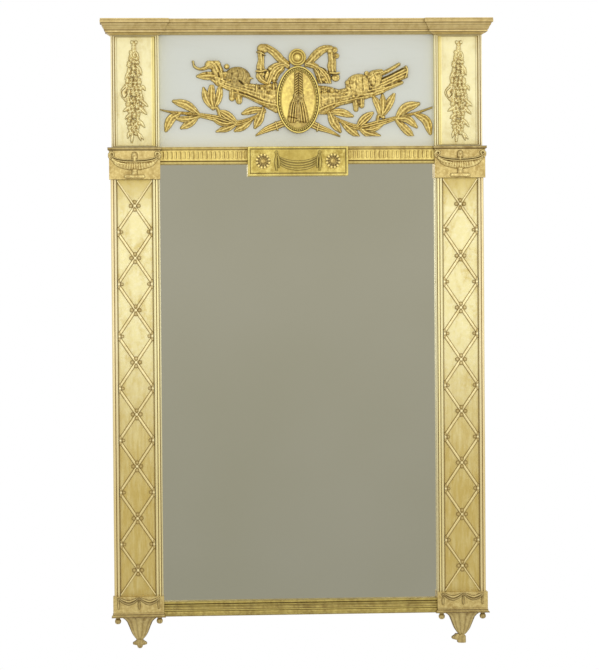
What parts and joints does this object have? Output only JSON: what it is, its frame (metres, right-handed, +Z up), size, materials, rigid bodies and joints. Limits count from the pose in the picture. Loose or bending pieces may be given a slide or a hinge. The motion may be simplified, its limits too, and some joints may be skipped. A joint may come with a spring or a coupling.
{
  "type": "trumeau mirror",
  "caption": "Wall-hung trumeau mirror: tall plate below a painted panel with carved trophy, between gilt trellis pilasters under a breakfront cornice, with hanging rings on the back.",
  "frame": {"origin": "middle of the flat back that lies against the wall, halfway up and on the centre line", "axes": "+Z up the mirror, +X to the right seen from the front, +Y into the wall, so the front faces -Y"},
  "size_m": [0.942, 0.0633, 1.512],
  "materials": {
    "gilt": "carved wood, gesso and burnished leaf, rubbed at the edges",
    "paint": "satin pale grey-green paint",
    "silvering": "polished silvered plate",
    "bare_wood": "planed softwood, unfinished",
    "steel": "plain, slightly dulled"
  },
  "bodies": {
    "frame": {"top_board": "gilt", "cornice_centre": "gilt", "left_cornice_block": "gilt", "right_cornice_block": "gilt", "left_frieze_pilaster": "gilt", "right_frieze_pilaster": "gilt", "left_garland": "gilt", "right_garland": "gilt", "left_urn_block": "gilt", "right_urn_block": "gilt", "left_urn": "gilt", "right_urn": "gilt", "left_fluted_rail": "gilt", "right_fluted_rail": "gilt", "left_pilaster": "gilt", "right_pilaster": "gilt", "left_trellis": "gilt", "right_trellis": "gilt", "left_plinth": "gilt", "right_plinth": "gilt", "left_plinth_swag": "gilt", "right_plinth_swag": "gilt", "left_pendant": "gilt", "right_pendant": "gilt", "left_outer_drop": "gilt", "right_outer_drop": "gilt", "left_inner_drop": "gilt", "right_inner_drop": "gilt", "left_tablet_rosette": "gilt", "right_tablet_rosette": "gilt", "left_ribbon": "gilt", "right_ribbon": "gilt", "left_laurel": "gilt", "right_laurel": "gilt", "centre_tablet": "gilt", "tablet_drapery": "gilt", "base_moulding": "gilt", "patera": "gilt", "medallion": "gilt", "tassel": "gilt", "torch": "gilt", "quiver": "gilt", "torch_foot": "gilt", "quiver_foot": "gilt", "left_stile": "bare_wood", "right_stile": "bare_wood", "top_rail": "bare_wood", "middle_rail": "bare_wood", "bottom_rail": "bare_wood", "backboard": "bare_wood", "left_hanger_strap": "steel", "right_hanger_strap": "steel", "left_upper_screw": "steel", "right_upper_screw": "steel", "left_lower_screw": "steel", "right_lower_screw": "steel", "frieze_panel": "paint", "mirror_glass": "silvering"},
    "left_ring": {"left_hanger_ring": "steel"},
    "right_ring": {"right_hanger_ring": "steel"}
  },
  "joints": [
    {"name": "left_ring_hinge", "type": "hinge", "parent": "frame", "child": "left_ring", "pos_m": [-0.3925, -0.0038, 0.506], "axis": [1, 0, 0], "range_deg": [0, 180]},
    {"name": "right_ring_hinge", "type": "hinge", "parent": "frame", "child": "right_ring", "pos_m": [0.3925, -0.0038, 0.506], "axis": [1, 0, 0], "range_deg": [0, 180]}
  ]
}
